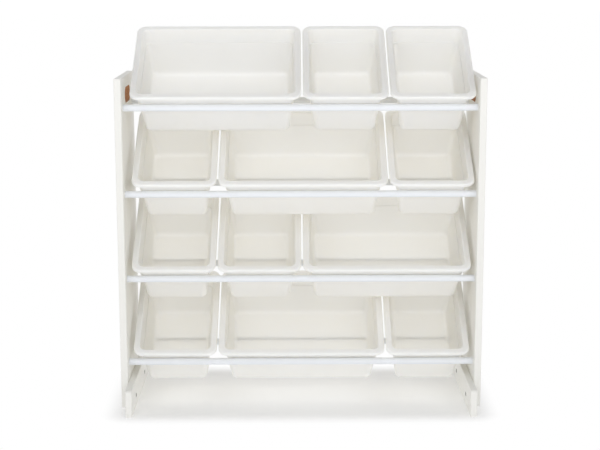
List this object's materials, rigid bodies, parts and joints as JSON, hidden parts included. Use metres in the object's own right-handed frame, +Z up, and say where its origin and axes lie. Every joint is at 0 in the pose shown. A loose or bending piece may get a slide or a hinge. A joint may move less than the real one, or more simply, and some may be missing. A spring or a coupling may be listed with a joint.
{
  "type": "toy storage organizer",
  "caption": "Open toy storage rack with two side panels, steel tubes and rows of tilted plastic bins that lift or tip up.",
  "frame": {"origin": "middle of the floor under the organizer, between the two foot rails", "axes": "+X to the right seen from the front, -Y to the open front, +Z up"},
  "size_m": [0.8502, 0.378, 0.8842],
  "materials": {
    "white_board": "satin white lacquer on fibreboard",
    "white_steel": "satin white powder coat",
    "plug_steel": "zinc plated",
    "fastener_steel": "zinc plated",
    "white_plastic": "semi-gloss moulded polypropylene"
  },
  "bodies": {
    "frame": {"side_panel_left": "white_board", "foot_rail_left": "white_board", "side_panel_right": "white_board", "foot_rail_right": "white_board", "front_rod_1": "white_steel", "rear_rod_1": "white_steel", "front_rod_2": "white_steel", "rear_rod_2": "white_steel", "front_rod_3": "white_steel", "rear_rod_3": "white_steel", "front_rod_4": "white_steel", "rear_rod_4": "white_steel", "rod_end_plugs": "plug_steel", "rod_bolts": "fastener_steel", "foot_screws": "fastener_steel"},
    "bin_row1_left": {"bin_row1_left": "white_plastic"},
    "bin_row1_middle": {"bin_row1_middle": "white_plastic"},
    "bin_row1_right": {"bin_row1_right": "white_plastic"},
    "bin_row2_left": {"bin_row2_left": "white_plastic"},
    "bin_row2_middle": {"bin_row2_middle": "white_plastic"},
    "bin_row2_right": {"bin_row2_right": "white_plastic"},
    "bin_row3_left": {"bin_row3_left": "white_plastic"},
    "bin_row3_middle": {"bin_row3_middle": "white_plastic"},
    "bin_row3_right": {"bin_row3_right": "white_plastic"},
    "bin_row4_left": {"bin_row4_left": "white_plastic"},
    "bin_row4_middle": {"bin_row4_middle": "white_plastic"},
    "bin_row4_right": {"bin_row4_right": "white_plastic"}
  },
  "joints": [
    {"name": "bin_row1_left_lift", "type": "slide", "parent": "frame", "child": "bin_row1_left", "axis": [0, -0.5595, 0.8289], "range_m": [0, 0.14]},
    {"name": "bin_row1_middle_lift", "type": "slide", "parent": "frame", "child": "bin_row1_middle", "axis": [0, -0.5595, 0.8289], "range_m": [0, 0.14]},
    {"name": "bin_row1_right_lift", "type": "slide", "parent": "frame", "child": "bin_row1_right", "axis": [0, -0.5595, 0.8289], "range_m": [0, 0.14]},
    {"name": "bin_row2_left_tip", "type": "hinge", "parent": "frame", "child": "bin_row2_left", "pos_m": [-0.2925, 0.0883, 0.50727], "axis": [-1, 0, 0], "range_deg": [0, 30]},
    {"name": "bin_row2_middle_tip", "type": "hinge", "parent": "frame", "child": "bin_row2_middle", "pos_m": [0.0055, 0.0883, 0.50727], "axis": [-1, 0, 0], "range_deg": [0, 30]},
    {"name": "bin_row2_right_tip", "type": "hinge", "parent": "frame", "child": "bin_row2_right", "pos_m": [0.3035, 0.0883, 0.50727], "axis": [-1, 0, 0], "range_deg": [0, 30]},
    {"name": "bin_row3_left_tip", "type": "hinge", "parent": "frame", "child": "bin_row3_left", "pos_m": [-0.2968, 0.0883, 0.30664], "axis": [-1, 0, 0], "range_deg": [0, 30]},
    {"name": "bin_row3_middle_tip", "type": "hinge", "parent": "frame", "child": "bin_row3_middle", "pos_m": [-0.0968, 0.0883, 0.30664], "axis": [-1, 0, 0], "range_deg": [0, 30]},
    {"name": "bin_row3_right_tip", "type": "hinge", "parent": "frame", "child": "bin_row3_right", "pos_m": [0.2012, 0.0883, 0.30664], "axis": [-1, 0, 0], "range_deg": [0, 30]},
    {"name": "bin_row4_left_tip", "type": "hinge", "parent": "frame", "child": "bin_row4_left", "pos_m": [-0.2968, 0.0883, 0.106], "axis": [-1, 0, 0], "range_deg": [0, 30]},
    {"name": "bin_row4_middle_tip", "type": "hinge", "parent": "frame", "child": "bin_row4_middle", "pos_m": [0.0012, 0.0883, 0.106], "axis": [-1, 0, 0], "range_deg": [0, 30]},
    {"name": "bin_row4_right_tip", "type": "hinge", "parent": "frame", "child": "bin_row4_right", "pos_m": [0.2992, 0.0883, 0.106], "axis": [-1, 0, 0], "range_deg": [0, 30]}
  ]
}
